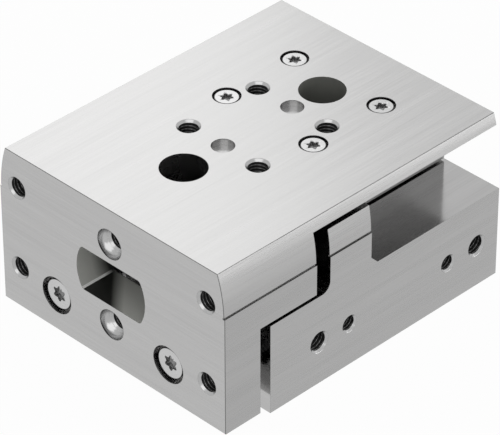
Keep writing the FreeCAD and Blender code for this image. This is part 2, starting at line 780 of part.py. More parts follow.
def piston_rear():
    body_r = bore_dia / 2 - 2 * running
    hole_r = spigot_dia / 2 + fixed_fit
    seal_end = piston_rear_y - seal_inset
    return turned(bore_x, bore_z, [
        (magnet_y, hole_r), (magnet_y, hub_radius()), (magnet_rear_y, hub_radius()), (magnet_rear_y, body_r),
        (seal_end - seal_wid, body_r), (seal_end - seal_wid, body_r - seal_depth),
        (seal_end, body_r - seal_depth), (seal_end, body_r), (piston_rear_y, body_r),
        (piston_rear_y, nut_recess_dia / 2), (piston_rear_y - nut_recess, nut_recess_dia / 2),
        (piston_rear_y - nut_recess, hole_r)])


def piston_magnet():
    return ring(bore_x, bore_z, magnet_y, magnet_rear_y,
                bore_dia / 2 - 3 * running, hub_radius() + fixed_fit)


def piston_seal(y, lip):
    """Piston lip seal in the groove that starts at y, its notch on the lip side."""
    outer = bore_dia / 2 - running
    inner = bore_dia / 2 - 2 * running - seal_depth + fixed_fit
    y0, y1 = y + end_clear, y + seal_wid - end_clear
    middle = (inner + outer) / 2
    notch = (outer - inner) / 4
    back, front = (y0, y1) if lip > 0 else (y1, y0)
    root = front - lip * 2 * notch
    return turned(bore_x, bore_z, [(back, inner), (back, outer), (front, outer), (front, middle + notch),
                                   (root, middle), (front, middle - notch), (front, inner)])


def piston_guide():
    y0, y1 = guide_span()
    body_r = bore_dia / 2 - 2 * running
    return ring(bore_x, bore_z, y0 + end_clear, y1 - end_clear,
                bore_dia / 2 - running, body_r - guide_depth + fixed_fit)


def piston_nut(side):
    body = hexagon(nut_flats, 0, nut_hgt).cut(Part.makeCylinder(spigot_dia / 2 + fixed_fit, nut_hgt))
    return placed(body, side * bore_x, piston_rear_y - nut_recess, bore_z, Vector(0, 1, 0))


def housing_unit():
    save("housing", [housing()])
    save("guide_rail", [guide_rail()])
    cap_seat_z = fixed_rail_top_z - cap_head_hgt
    save("guide_rail_screws", [placed(cap_screw(), 0, y, cap_seat_z) for y in fixed_screw_ys])
    save_pair("gland", gland())
    save_pair("gland_bush", gland_bush())
    save_pair("rod_seal", rod_seal())
    save_pair("gland_oring", oring(gland_y + oring_inset))
    save_pair("front_cushion", front_cushion())
    save_pair("end_cap", end_cap())
    save_pair("end_cap_oring", oring(cap_y + cap_oring_inset))
    save_pair("rear_cushion", rear_cushion())
    save("gland_circlips", [circlip(side * bore_x, housing_y + clip_inset, bore_z) for side in (-1, 1)])
    save("end_cap_circlips", [circlip(side * bore_x, cap_rear_y, bore_z) for side in (-1, 1)])


def slide_unit():
    save("slide_table", [slide_table()])
    save_pair("slide_rail", slide_rail())
    m3 = cheese_screw(m3_dia, m3_len, m3_head_dia, m3_head_hgt, lobe_m3)
    seat_z = overall_hgt - m3_sunk - m3_head_hgt
    save("slide_rail_screws", [placed(m3, side * rail_screw_pitch_x / 2, y, seat_z)
                               for y in rail_screw_ys for side in (-1, 1)])
    m4 = cheese_screw(m4_dia, m4_len, m4_head_dia, m4_head_hgt, lobe_m4)
    save("rod_screws", [placed(m4, side * bore_x, front_y + m4_sunk + m4_head_hgt, bore_z, Vector(0, -1, 0))
                        for side in (-1, 1)])
    stops = [cage_stop(slide_rail_y - stop_thk), cage_stop(slide_rail_rear_y)]
    save("cage_stops", stops + [mirrored(stop) for stop in stops])
    screws = [placed(stop_screw(), stop_screw_x(), slide_rail_y - stop_thk, ball_z, Vector(0, -1, 0)),
              placed(stop_screw(), stop_screw_x(), slide_rail_rear_y + stop_thk, ball_z, Vector(0, 1, 0))]
    save("cage_stop_screws", screws + [mirrored(screw) for screw in screws])
    save_pair("piston_rod", piston_rod())
    save_pair("piston_front", piston_front())
    save_pair("piston_rear", piston_rear())
    save_pair("piston_magnet", piston_magnet())
    save_pair("piston_guide", piston_guide())
    seals = [piston_seal(piston_y + seal_inset, -1), piston_seal(piston_rear_y - seal_inset - seal_wid, 1)]
    save("piston_seals_right", seals)
    save("piston_seals_left", [mirrored(seal) for seal in seals])
    save("piston_nuts", [piston_nut(side) for side in (-1, 1)])


def cage_units():
    save_pair("ball_cage", ball_cage())
    balls = [Part.makeSphere(ball_dia / 2, Vector(ball_x, y, ball_z)) for y in ball_ys()]
    save("balls_right", balls)
    save("balls_left", [mirrored(ball) for ball in balls])


os.makedirs("parts", exist_ok=True)
housing_unit()
slide_unit()
cage_units()
print("overall", round(overall_len, 3), overall_wid, overall_hgt)
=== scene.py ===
import json
import math
import bmesh
import bpy
from mathutils import Matrix, Vector


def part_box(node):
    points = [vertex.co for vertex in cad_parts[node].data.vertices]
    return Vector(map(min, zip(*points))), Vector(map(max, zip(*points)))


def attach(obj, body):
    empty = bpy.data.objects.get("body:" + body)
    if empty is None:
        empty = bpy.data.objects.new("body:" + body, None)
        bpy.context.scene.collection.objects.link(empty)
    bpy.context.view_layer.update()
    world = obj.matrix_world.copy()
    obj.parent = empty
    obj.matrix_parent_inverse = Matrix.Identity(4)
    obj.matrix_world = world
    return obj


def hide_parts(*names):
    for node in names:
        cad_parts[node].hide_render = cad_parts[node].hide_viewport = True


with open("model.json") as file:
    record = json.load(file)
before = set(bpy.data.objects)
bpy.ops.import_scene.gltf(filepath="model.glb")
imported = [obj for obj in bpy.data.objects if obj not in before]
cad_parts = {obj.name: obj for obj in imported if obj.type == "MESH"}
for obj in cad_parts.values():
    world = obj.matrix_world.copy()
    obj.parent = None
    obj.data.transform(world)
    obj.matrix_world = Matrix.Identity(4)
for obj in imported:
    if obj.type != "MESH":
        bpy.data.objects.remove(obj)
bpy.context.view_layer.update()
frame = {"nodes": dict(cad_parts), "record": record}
mm = 0.001
nodes = frame["nodes"]
mounts = {mount["name"]: mount for mount in frame["record"]["mounts"]}
openings = {opening["name"]: opening for opening in frame["record"]["physics"]["openings"]}
print("frame loaded,", len(nodes), "nodes")


# Shader helpers

# Links the sockets and sets the plain values among a node's inputs
def feed(tree, node, values):
    for key, value in values.items():
        if isinstance(value, bpy.types.NodeSocket):
            tree.links.new(value, node.inputs[key])
        else:
            node.inputs[key].default_value = value
    return node


def put(tree, kind, values=None, **settings):
    node = tree.nodes.new(kind)
    for name, value in settings.items():
        setattr(node, name, value)
    return feed(tree, node, values or {})


def sums(tree, operation, first, second=0.0, third=None):
    values = {0: first, 1: second}
    if third is not None:
        values[2] = third
    return put(tree, "ShaderNodeMath", values, operation=operation).outputs[0]


def newGroup(name, inputs, outputs):
    tree = bpy.data.node_groups.new(name, "ShaderNodeTree")
    for socketName, value in inputs.items():
        socket = tree.interface.new_socket(name=socketName, in_out="INPUT", socket_type="NodeSocketFloat")
        socket.default_value = value
    for socketName, kind in outputs.items():
        tree.interface.new_socket(name=socketName, in_out="OUTPUT", socket_type=kind)
    return tree, put(tree, "NodeGroupInput"), put(tree, "NodeGroupOutput")


def useGroup(tree, group, values):
    return put(tree, "ShaderNodeGroup", values, node_tree=group).outputs


def objectPlace(tree):
    return put(tree, "ShaderNodeTexCoord").outputs["Object"]


def facing(tree):
    return put(tree, "ShaderNodeNewGeometry").outputs["Normal"]


def split(tree, vector):
    return put(tree, "ShaderNodeSeparateXYZ", {0: vector}).outputs


def noise(tree, dimensions, values):
    return put(tree, "ShaderNodeTexNoise", values, noise_dimensions=dimensions).outputs["Fac"]


# 0 at the first limit and 1 at the second
def ramp(tree, value, limits):
    values = {"Value": value, "From Min": limits[0], "From Max": limits[1]}
    return put(tree, "ShaderNodeMapRange", values).outputs[0]


# Most of a noise lies between these
noiseLimits = (0.3, 0.7)


# Straight grain of a milled or ground face, along the travel, and across on the end faces
grainNoise = {"endFacing": 0.7, "broadScale": 0.21, "fineShare": 0.6, "broadShare": 0.4,
              "limits": (0.32, 0.68)}


def makeGrain():
    tree, given, made = newGroup("machineGrain", {"Along": 60.0, "Across": 2400.0, "Seed": 0.0},
                                 {"Tone": "NodeSocketFloat", "Height": "NodeSocketFloat"})
    along, across, seed = (given.outputs[name] for name in ("Along", "Across", "Seed"))
    lengthways = put(tree, "ShaderNodeCombineXYZ", {"X": across, "Y": along, "Z": across}).outputs[0]
    sideways = put(tree, "ShaderNodeCombineXYZ", {"X": along, "Y": across, "Z": across}).outputs[0]
    endward = sums(tree, "ABSOLUTE", split(tree, facing(tree))["Y"])
    onEnd = sums(tree, "GREATER_THAN", endward, grainNoise["endFacing"])
    stretch = put(tree, "ShaderNodeMix", {"Factor": onEnd, 4: lengthways, 5: sideways}, data_type="VECTOR")
    scaled = put(tree, "ShaderNodeVectorMath", {0: objectPlace(tree), 1: stretch.outputs[1]},
                 operation="MULTIPLY").outputs[0]
    fine = noise(tree, "4D", {"Vector": scaled, "W": seed, "Scale": 1.0, "Detail": 3.0, "Roughness": 0.62})
    broad = noise(tree, "4D", {"Vector": scaled, "W": seed, "Scale": grainNoise["broadScale"],
                               "Detail": 2.0, "Roughness": 0.5})
    both = sums(tree, "MULTIPLY_ADD", fine, grainNoise["fineShare"],
                sums(tree, "MULTIPLY", broad, grainNoise["broadShare"]))
    feed(tree, made, {"Tone": ramp(tree, both, grainNoise["limits"]), "Height": both})
    return tree


# Face weights by the way a face points: as colour they paint the tops lighter, the long sides darker and
# the bevels with a painted highlight, as painted light and shade; with other weights they scale the
# roughness
def makeFaceShadeAndRough():
    tree, given, made = newGroup("faceShadeAndRough", {"Top": 1.1, "End": 1.0, "Side": 0.9, "Slope": 0.0},
                                 {"Tone": "NodeSocketFloat"})
    parts = split(tree, facing(tree))
    total = 0.0
    for axis, name in (("X", "Side"), ("Y", "End"), ("Z", "Top")):
        share = sums(tree, "MULTIPLY", parts[axis], parts[axis])
        total = sums(tree, "MULTIPLY_ADD", share, given.outputs[name], total)
    sloping = sums(tree, "ABSOLUTE", sums(tree, "MULTIPLY", parts["X"], parts["Z"]))
    total = sums(tree, "MULTIPLY_ADD", sloping, given.outputs["Slope"], total)
    feed(tree, made, {"Tone": total})
    return tree


# Slow changes of tone from handling and anodising
def makeClouding():
    tree, given, made = newGroup("clouding", {"Size": 60.0, "Seed": 0.0}, {"Tone": "NodeSocketFloat"})
    soft = noise(tree, "4D", {"Vector": objectPlace(tree), "W": given.outputs["Seed"],
                              "Scale": given.outputs["Size"], "Detail": 4.0, "Roughness": 0.55})
    feed(tree, made, {"Tone": ramp(tree, soft, noiseLimits)})
    return tree


# Where two faces meet: a mask of the broken edge, and a normal that rounds it
# The limits are cosines between the rounded and the flat normal, from no edge to a full one
edgeLimits = (0.995, 0.86)


def makeEdge():
    tree, given, made = newGroup("brokenEdge", {"Width": 0.1 * mm},
                                 {"Edge": "NodeSocketFloat", "Normal": "NodeSocketVector"})
    rounded = put(tree, "ShaderNodeBevel", {"Radius": given.outputs["Width"]}, samples=6).outputs[0]
    agree = put(tree, "ShaderNodeVectorMath", {0: rounded, 1: facing(tree)}, operation="DOT_PRODUCT")
    feed(tree, made, {"Edge": ramp(tree, agree.outputs["Value"], edgeLimits), "Normal": rounded})
    return tree


# Rings left by turning, from a radius that the mesh or the bore axis gives
def makeTurning():
    tree, given, made = newGroup("turningRings", {"Radius": 0.0, "Rings": 9000.0},
                                 {"Tone": "NodeSocketFloat", "Height": "NodeSocketFloat"})
    line = sums(tree, "MULTIPLY", given.outputs["Radius"], given.outputs["Rings"])
    rings = noise(tree, "1D", {"W": line, "Scale": 1.0, "Detail": 2.0, "Roughness": 0.6})
    feed(tree, made, {"Tone": ramp(tree, rings, noiseLimits), "Height": rings})
    return tree


grainGroup = makeGrain()
faceShadeAndRoughGroup = makeFaceShadeAndRough()
cloudGroup = makeClouding()
edgeGroup = makeEdge()
turningGroup = makeTurning()
print("shader groups made")


def newMaterial(name):
    material = bpy.data.materials.new(name)
    material.use_nodes = True
    tree = material.node_tree
    tree.nodes.clear()
    shader = put(tree, "ShaderNodeBsdfPrincipled")
    put(tree, "ShaderNodeOutputMaterial", {"Surface": shader.outputs[0]})
    return material, tree, shader


# Two colours or two values mixed by a mask
def mixColours(tree, mask, first, second):
    mix = put(tree, "ShaderNodeMix", {"Factor": mask, 6: first, 7: second}, data_type="RGBA")
    return mix.outputs[2]


def mixValues(tree, mask, first, second):
    return put(tree, "ShaderNodeMix", {"Factor": mask, 2: first, 3: second}).outputs[0]


def spread(tree, mask, low, high):
    return put(tree, "ShaderNodeMapRange", {"Value": mask, "To Min": low, "To Max": high}).outputs[0]


def grey(level, warmth=0.0):
    return (level * (1 + warmth), level, level * (1 - warmth), 1.0)


def shade(colour, factor):
    return (colour[0] * factor, colour[1] * factor, colour[2] * factor, 1.0)


# What several materials do with their own look: clouding, edges, roughness and a bump
def cloudOf(tree, look):
    return useGroup(tree, cloudGroup, {"Size": look["cloudSize"], "Seed": look["seed"]})["Tone"]


def edgeOf(tree, look):
    return useGroup(tree, edgeGroup, {"Width": look["edgeWidth"] * mm})


def roughOf(tree, mask, look):
    return spread(tree, mask, look["rough"] - look["roughSpread"], look["rough"] + look["roughSpread"])


def bumpOf(tree, look, values):
    values = {**values, "Strength": look["bump"], "Distance": look["bumpDepth"] * mm}
    return put(tree, "ShaderNodeBump", values).outputs[0]


# A value that the mesh carries at its points
def fromMesh(tree, layer):
    return put(tree, "ShaderNodeAttribute", attribute_name=layer).outputs["Fac"]


# Chamfers on the front and top of a node: near those two planes and square to neither
chamferLimits = {"reach": 0.13, "squareAbove": 0.95}


def chamferMask(tree, nodeName):
    corners = [Vector(corner) for corner in nodes[nodeName].bound_box]
    frontY, topZ = min(corner.y for corner in corners), max(corner.z for corner in corners)
    place = split(tree, objectPlace(tree))
    turned = put(tree, "ShaderNodeVectorMath", {0: facing(tree)}, operation="ABSOLUTE")
    parts = split(tree, turned.outputs[0])
    steepest = sums(tree, "MAXIMUM", sums(tree, "MAXIMUM", parts["X"], parts["Y"]), parts["Z"])
    slanting = sums(tree, "LESS_THAN", steepest, chamferLimits["squareAbove"])
    nearFront = sums(tree, "LESS_THAN", place["Y"], frontY + chamferLimits["reach"] * mm)
    nearTop = sums(tree, "GREATER_THAN", place["Z"], topZ - chamferLimits["reach"] * mm)
    return sums(tree, "MULTIPLY", slanting, sums(tree, "MAXIMUM", nearFront, nearTop))


# A box in the node's own space as a mask
def boxMask(tree, centre, halves):
    offset = put(tree, "ShaderNodeVectorMath", {0: objectPlace(tree), 1: centre}, operation="SUBTRACT")
    reach = put(tree, "ShaderNodeVectorMath", {0: offset.outputs[0]}, operation="ABSOLUTE")
    parts = split(tree, reach.outputs[0])
    inside = 1.0
    for axis, half in zip("XYZ", halves):
        inside = sums(tree, "MULTIPLY", sums(tree, "LESS_THAN", parts[axis], half), inside)
    return inside


# One of the record's openings, grown sideways to take in the walls round it
def openingMask(tree, wall):
    low, high = (Vector(corner) for corner in openings[wall["opening"]]["box_m"])
    return boxMask(tree, (low + high) / 2, (high - low) / 2 + Vector(wall["grow"]) * mm)


def openingFront(wall):
    return min(corner[1] for corner in openings[wall["opening"]]["box_m"])


# A ramp between two distances from a start, in millimetres
def fade(tree, value, start, distances):
    return ramp(tree, value, [start + distance * mm for distance in distances])


# Painted shade on an opening's walls: the rear of the sides and the floor left of a slanting line
def wallShadeMask(tree, wall):
    place, frontY = split(tree, objectPlace(tree)), openingFront(wall)
    rearward = fade(tree, place["Y"], frontY, wall["sideFade"])
    slanting = sums(tree, "ADD", place["X"], sums(tree, "SUBTRACT", place["Y"], frontY))
    leftward = fade(tree, slanting, 0.0, wall["floorFade"])
    onFloor = sums(tree, "GREATER_THAN", split(tree, facing(tree))["Z"], wall["floorFacing"])
    return mixValues(tree, onFloor, rearward, leftward)


# A painted highlight on the rounded corner between an opening's left side and its floor, strongest near the
# front
def cornerHighlightMask(tree, wall):
    place = split(tree, objectPlace(tree))
    rounded = sums(tree, "COMPARE", split(tree, facing(tree))["Z"], *wall["cornerFacing"])
    onLeft = sums(tree, "LESS_THAN", place["X"], 0.0)
    forward = fade(tree, place["Y"], openingFront(wall), wall["cornerFade"])
    return sums(tree, "MULTIPLY", forward, sums(tree, "MULTIPLY", rounded, onLeft))


# Milled or ground metal: grain and clouding in colour and roughness, broken edges painted dark as painted
# shade, face tones painted as light and shade, painted shade and highlight on opening walls, a fine bump
def grainedMetal(name, look):
    material, tree, shader = newMaterial(name)
    grain = useGroup(tree, grainGroup, {"Along": look["along"], "Across": look["across"],
                                        "Seed": look["seed"]})
    edge = edgeOf(tree, look)
    broken = edge["Edge"]
    # The front and top chamfers join the edges that get a painted dark line
    if "chamfered" in look:
        broken = sums(tree, "MAXIMUM", broken, chamferMask(tree, look["chamfered"]))
    colour = look["colour"]
    grained = mixColours(tree, grain["Tone"], shade(colour, 1 - look["grainDepth"]),
                         shade(colour, 1 + look["grainDepth"]))
    clouded = mixColours(tree, sums(tree, "MULTIPLY", cloudOf(tree, look), look["cloudDepth"]),
                         grained, colour)
    # Edges painted dark: a painted shade standing for the dark their rounding reflects
    edgeShaded = mixColours(tree, sums(tree, "MULTIPLY", broken, look["edgeShare"]),
                       clouded, shade(colour, look["edgeShadeTone"]))
    # Painted light and shade: each face is scaled lighter or darker by the way it points
    faceShadeAndRough = useGroup(tree, faceShadeAndRoughGroup, look["faces"])["Tone"]
    toned = put(tree, "ShaderNodeVectorMath", {0: edgeShaded, "Scale": faceShadeAndRough}, operation="SCALE").outputs[0]
    faceRough = useGroup(tree, faceShadeAndRoughGroup, look["roughFaces"])["Tone"]
    rough = sums(tree, "MULTIPLY", roughOf(tree, grain["Tone"], look), faceRough)
    metallic = look["metallic"]
    for wall in look.get("walls", []):
        inside = openingMask(tree, wall)
        # Opening walls take their own colour with painted shade, and on the window a painted highlight
        cut = wall["colour"]
        if "wallShadeColour" in wall:
            cut = mixColours(tree, wallShadeMask(tree, wall), cut, wall["wallShadeColour"])
            cut = mixColours(tree, cornerHighlightMask(tree, wall), cut, wall["cornerHighlightColour"])
        toned = mixColours(tree, inside, toned, cut)
        rough = mixValues(tree, inside, rough, wall["rough"])
        metallic = mixValues(tree, inside, metallic, wall["metallic"])
    bump = bumpOf(tree, look, {"Height": grain["Height"], "Normal": edge["Normal"]})
    feed(tree, shader, {"Base Color": toned, "Roughness": rough, "Metallic": metallic, "Normal": bump})
    return material


# Turned metal: rings about the bore axes, or about each screw where the mesh says so
def turnedMetal(name, look):
    material, tree, shader = newMaterial(name)
    if look["radiusFrom"] == "mesh":
        radius = fromMesh(tree, "turnRadius")
    else:
        place = split(tree, objectPlace(tree))
        across = sums(tree, "SUBTRACT", sums(tree, "ABSOLUTE", place["X"]), boreAxis["x"])
        upward = sums(tree, "SUBTRACT", place["Z"], boreAxis["z"])
        squares = sums(tree, "MULTIPLY_ADD", across, across, sums(tree, "MULTIPLY", upward, upward))
        radius = sums(tree, "ADD", sums(tree, "SQRT", squares), place["Y"])
    rings = useGroup(tree, turningGroup, {"Radius": radius, "Rings": look["rings"]})
    edge = edgeOf(tree, look)
    colour = look["colour"]
    ringed = mixColours(tree, rings["Tone"], shade(colour, 1 - look["ringDepth"]),
                        shade(colour, 1 + look["ringDepth"]))
    # On screws the mesh marks the lit parts; the rim, sides and shank are painted dark as painted shade
    if look["radiusFrom"] == "mesh":
        ringed = mixColours(tree, fromMesh(tree, "paintedLit"), shade(colour, look["rimShadeTone"]), ringed)
    clouded = mixColours(tree, sums(tree, "MULTIPLY", cloudOf(tree, look), look["cloudDepth"]),
                         ringed, shade(colour, look["cloudTone"]))
    # Edges painted dark as painted shade
    edgeShaded = mixColours(tree, sums(tree, "MULTIPLY", edge["Edge"], look["edgeShare"]),
                       clouded, shade(colour, look["edgeShadeTone"]))
    bump = bumpOf(tree, look, {"Height": rings["Height"], "Normal": edge["Normal"]})
    feed(tree, shader, {"Base Color": edgeShaded, "Roughness": roughOf(tree, rings["Tone"], look),
                        "Metallic": look["metallic"], "Normal": bump})
    return material


# Cut thread: flanks painted near black as painted shade, crests and mouth painted lighter as painted
# highlight, where the mesh marks them
def threadMetal(name, look):
    material, tree, shader = newMaterial(name)
    clean = spread(tree, cloudOf(tree, look), 1 - look["stain"], 1.0)
    paintedLitAndStain = sums(tree, "MULTIPLY", fromMesh(tree, "paintedLit"), clean)
    feed(tree, shader, {"Base Color": mixColours(tree, paintedLitAndStain, look["flank"], look["crest"]),
                        "Roughness": spread(tree, paintedLitAndStain, look["flankRough"], look["crestRough"]),
                        "Metallic": look["metallic"]})
    return material


# Rubber, elastomer and filled plastic: speckle and bloom, never metallic
def softPiece(name, look):
    material, tree, shader = newMaterial(name)
    speck = noise(tree, "3D", {"Vector": objectPlace(tree), "Scale": look["speckScale"], "Detail": 4.0,
                               "Roughness": 0.7})
    speckled = mixColours(tree, speck, shade(look["colour"], look["speckDark"]),
                          shade(look["colour"], look["speckLight"]))
    bloomed = mixColours(tree, sums(tree, "MULTIPLY", cloudOf(tree, look), look["bloom"]),
                         speckled, shade(look["colour"], look["bloomTone"]))
    feed(tree, shader, {"Base Color": bloomed, "Roughness": roughOf(tree, speck, look),
                        "Normal": bumpOf(tree, look, {"Height": speck})})
    return material


# The axis of the right bore from its end cap, and the left one mirrors it
capLow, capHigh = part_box("end_cap_right")
boreAxis = {"x": (capLow[0] + capHigh[0]) / 2, "z": (capLow[2] + capHigh[2]) / 2}

# faces are painted light and shade: long sides painted darker than tops and ends; the edge tone paints a
# dark line on the edges as painted shade
aluminiumLook = {"colour": grey(0.46, 0.004), "faces": {"Top": 1.0, "End": 1.0, "Side": 0.84},
                 "metallic": 1.0, "rough": 0.28, "roughSpread": 0.03,
                 "roughFaces": {"Top": 0.45, "End": 0.4, "Side": 1.0},
                 "along": 55.0, "across": 2600.0, "grainDepth": 0.07, "cloudSize": 45.0, "cloudDepth": 0.3,
                 "edgeWidth": 0.08, "edgeShare": 1.0, "edgeShadeTone": 0.35, "bump": 0.35, "bumpDepth": 0.004,
                 "seed": 4.0}
# The walls of the window and of the rear key hole are duller cuts that scatter light; the key hole's walls
# are painted dark as painted shade, and the window's walls carry painted shade at the rear of the sides and
# on the floor's left, and a painted highlight along the rounded corner at the front
# grow and fades in millimetres, fades from none to full; facing values are the upward part of the normal
windowWall = {"opening": "yoke_window", "grow": (3.0, -1.02, 0.6), "colour": (0.54, 0.545, 0.515, 1.0),
              "rough": 0.45, "metallic": 0.35, "cornerHighlightColour": (0.95, 0.95, 0.93, 1.0),
              "cornerFacing": (0.78, 0.16), "cornerFade": (9.5, 7.0),
              "wallShadeColour": (0.015, 0.0155, 0.014, 1.0), "sideFade": (5.0, 9.0), "floorFade": (4.6, 0.8),
              "floorFacing": 0.7}
# The key hole's walls are painted dark as painted shade in the hole
keyHoleWall = {"opening": "mounting_access_rear", "grow": (2.2, 2.2, -1.01),
               "colour": (0.175, 0.178, 0.162, 1.0), "rough": 0.5, "metallic": 0.3}
# Table faces: top painted lighter and long sides darker as painted light and shade, bevels painted with a
# highlight
tableLook = {**aluminiumLook, "faces": {"Top": 1.04, "End": 0.98, "Side": 0.80, "Slope": 0.6},
             "roughFaces": {"Top": 0.9, "End": 0.8, "Side": 1.0}, "seed": 1.0, "chamfered": "slide_table",
             "walls": [windowWall, keyHoleWall]}
# Housing faces: top painted darker as the shade under the table, long sides darker, bevels painted with a
# highlight
housingLook = {**aluminiumLook, "faces": {"Top": 0.9, "End": 1.0, "Side": 0.84, "Slope": 0.6}}
# Thread flanks near black as painted shade, crests lighter as painted highlight; the stain dims them at
# random
threadLook = {"flank": grey(0.03), "crest": grey(0.43), "metallic": 1.0, "flankRough": 0.35,
              "crestRough": 0.2, "cloudSize": 400.0, "stain": 0.12, "seed": 6.0}
railLook = {**aluminiumLook, "colour": grey(0.40, 0.01), "rough": 0.26, "along": 30.0, "across": 5200.0,
            "grainDepth": 0.06, "edgeWidth": 0.1, "seed": 9.0}
stopLook = {**railLook, "colour": grey(0.46, 0.01), "rough": 0.34, "seed": 12.0}
cageLook = {**railLook, "colour": (0.60, 0.44, 0.20, 1.0), "rough": 0.3, "seed": 15.0}
springLook = {**railLook, "colour": grey(0.10, 0.02), "rough": 0.42, "grainDepth": 0.12, "seed": 18.0}
oxideLook = {**railLook, "colour": grey(0.05, 0.02), "rough": 0.38, "grainDepth": 0.15, "seed": 21.0}

screwLook = {"colour": grey(0.54), "metallic": 1.0, "rough": 0.22, "roughSpread": 0.05, "rings": 9000.0,
             "ringDepth": 0.06, "cloudSize": 300.0, "cloudDepth": 0.25, "cloudTone": 0.8,
             "edgeWidth": 0.08, "edgeShare": 0.8, "edgeShadeTone": 0.4, "rimShadeTone": 0.12, "bump": 0.35,
             "bumpDepth": 0.004, "seed": 2.0, "radiusFrom": "mesh"}
# The socket is painted darker than the head, as painted shade in the recess
socketLook = {**screwLook, "colour": grey(0.36), "rough": 0.3, "seed": 3.0}
rodLook = {**screwLook, "colour": grey(0.72), "rough": 0.1, "roughSpread": 0.02, "ringDepth": 0.02,
           "bump": 0.08, "radiusFrom": "bore", "seed": 5.0}
capLook = {**screwLook, "colour": grey(0.58), "rough": 0.3, "ringDepth": 0.08, "rings": 5200.0,
           "radiusFrom": "bore", "seed": 7.0}
bushLook = {**capLook, "colour": (0.48, 0.31, 0.15, 1.0), "rough": 0.42, "cloudDepth": 0.6, "seed": 8.0}
ballLook = {**rodLook, "colour": grey(0.70), "rough": 0.06, "seed": 10.0}
nutLook = {**capLook, "colour": grey(0.55, 0.01), "rough": 0.34, "seed": 11.0}

nitrileLook = {"colour": grey(0.022), "rough": 0.55, "roughSpread": 0.08, "speckScale": 4200.0,
               "speckDark": 0.72, "speckLight": 1.3, "cloudSize": 260.0, "bloom": 0.35, "bloomTone": 1.9,
               "bump": 0.3, "bumpDepth": 0.01, "seed": 1.0}
cushionLook = {**nitrileLook, "colour": (0.26, 0.10, 0.04, 1.0), "rough": 0.45, "seed": 2.0}
magnetLook = {**nitrileLook, "colour": grey(0.055, 0.02), "rough": 0.62, "bloom": 0.2, "seed": 3.0}
bandLook = {**nitrileLook, "colour": (0.20, 0.13, 0.07, 1.0), "rough": 0.5, "seed": 4.0}

materials = {
    "tableAluminium": grainedMetal("tableAluminium", tableLook),
    "housingAluminium": grainedMetal("housingAluminium", housingLook),
    "cutThread": threadMetal("cutThread", threadLook),
    "groundRail": grainedMetal("groundRail", railLook),
    "stopPlate": grainedMetal("stopPlate", stopLook),
    "stampedBrass": grainedMetal("stampedBrass", cageLook),
    "springSteel": grainedMetal("springSteel", springLook),
    "blackOxide": grainedMetal("blackOxide", oxideLook),
    "screwHead": turnedMetal("screwHead", screwLook),
    "screwSocket": turnedMetal("screwSocket", socketLook),
    "chromedRod": turnedMetal("chromedRod", rodLook),
    "turnedAluminium": turnedMetal("turnedAluminium", capLook),
    "bronzeBush": turnedMetal("bronzeBush", bushLook),
    "polishedBall": turnedMetal("polishedBall", ballLook),
    "zincNut": turnedMetal("zincNut", nutLook),
    "nitrile": softPiece("nitrile", nitrileLook),
    "cushionElastomer": softPiece("cushionElastomer", cushionLook),
    "bondedMagnet": softPiece("bondedMagnet", magnetLook),
    "guideBand": softPiece("guideBand", bandLook),
}

nodeFinish = {
    "tableAluminium": ["slide_table"],
    "housingAluminium": ["housing"],
    "groundRail": ["guide_rail", "slide_rail_right", "slide_rail_left"],
    "stopPlate": ["cage_stops"],
    "zincNut": ["cage_stop_screws", "piston_nuts"],
    "blackOxide": ["guide_rail_screws"],
    "stampedBrass": ["ball_cage_right", "ball_cage_left"],
    "polishedBall": ["balls_right", "balls_left"],
    "chromedRod": ["piston_rod_right", "piston_rod_left"],
    "turnedAluminium": ["piston_front_right", "piston_front_left", "piston_rear_right", "piston_rear_left",
                        "gland_right", "gland_left", "end_cap_right", "end_cap_left"],
    "bondedMagnet": ["piston_magnet_right", "piston_magnet_left"],
    "guideBand": ["piston_guide_right", "piston_guide_left"],
    "nitrile": ["piston_seals_right", "piston_seals_left", "rod_seal_right", "rod_seal_left",
                "gland_oring_right", "gland_oring_left", "end_cap_oring_right", "end_cap_oring_left"],
    "bronzeBush": ["gland_bush_right", "gland_bush_left"],
    "springSteel": ["gland_circlips", "end_cap_circlips"],
    "cushionElastomer": ["front_cushion_right", "front_cushion_left", "rear_cushion_right",
                         "rear_cushion_left"],
}


def dressNodes():
    for finish, names in nodeFinish.items():
        for name in names:
            slots = nodes[name].data.materials
            slots.clear()
            slots.append(materials[finish])


dressNodes()
print("node finishes set")


# Mesh helpers

# Edges that turn by more than this many degrees stay sharp
sharpAngle = 38


# Hole centres of a mount's rectangle or line, and its axis
def holePattern(name):
    mount = mounts[name]
    axis = Vector(mount["axis"])
    rowAxes = [Vector((1, 0, 0)), Vector((0, 1, 0)), Vector((0, 0, 1))]
    flat = [unit for unit in rowAxes if abs(unit.dot(axis)) < 0.5]
    steps = [mount["dims"].get(key, 0.0) * mm / 2 for key in ("spacing_x_mm", "spacing_y_mm")]
    centres = []
    for a in ((-1, 1) if steps[0] else (0,)):
        for b in ((-1, 1) if steps[1] else (0,)):
            centres.append(Vector(mount["pos_m"]) + flat[0] * steps[0] * a + flat[1] * steps[1] * b)
    return centres, axis


def newPiece(name, mesh, body, finishes):
    data = bpy.data.meshes.new(name)
    mesh.to_mesh(data)
    mesh.free()
    for finish in finishes:
        data.materials.append(materials[finish])
    piece = bpy.data.objects.new(name, data)
    bpy.context.scene.collection.objects.link(piece)
    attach(piece, body)
    return piece


def ringOf(mesh, radii, height, place):
    count = len(radii)
    return [mesh.verts.new(place @ Vector((r * math.cos(math.tau * i / count),
                                           r * math.sin(math.tau * i / count), height)))
            for i, r in enumerate(radii)]


def bridge(mesh, first, second, finish=0):
    count = len(first)
    for i in range(count):
        j = (i + 1) % count
        face = mesh.faces.new((first[i], first[j], second[j], second[i]))
        face.material_index = finish
        face.smooth = True


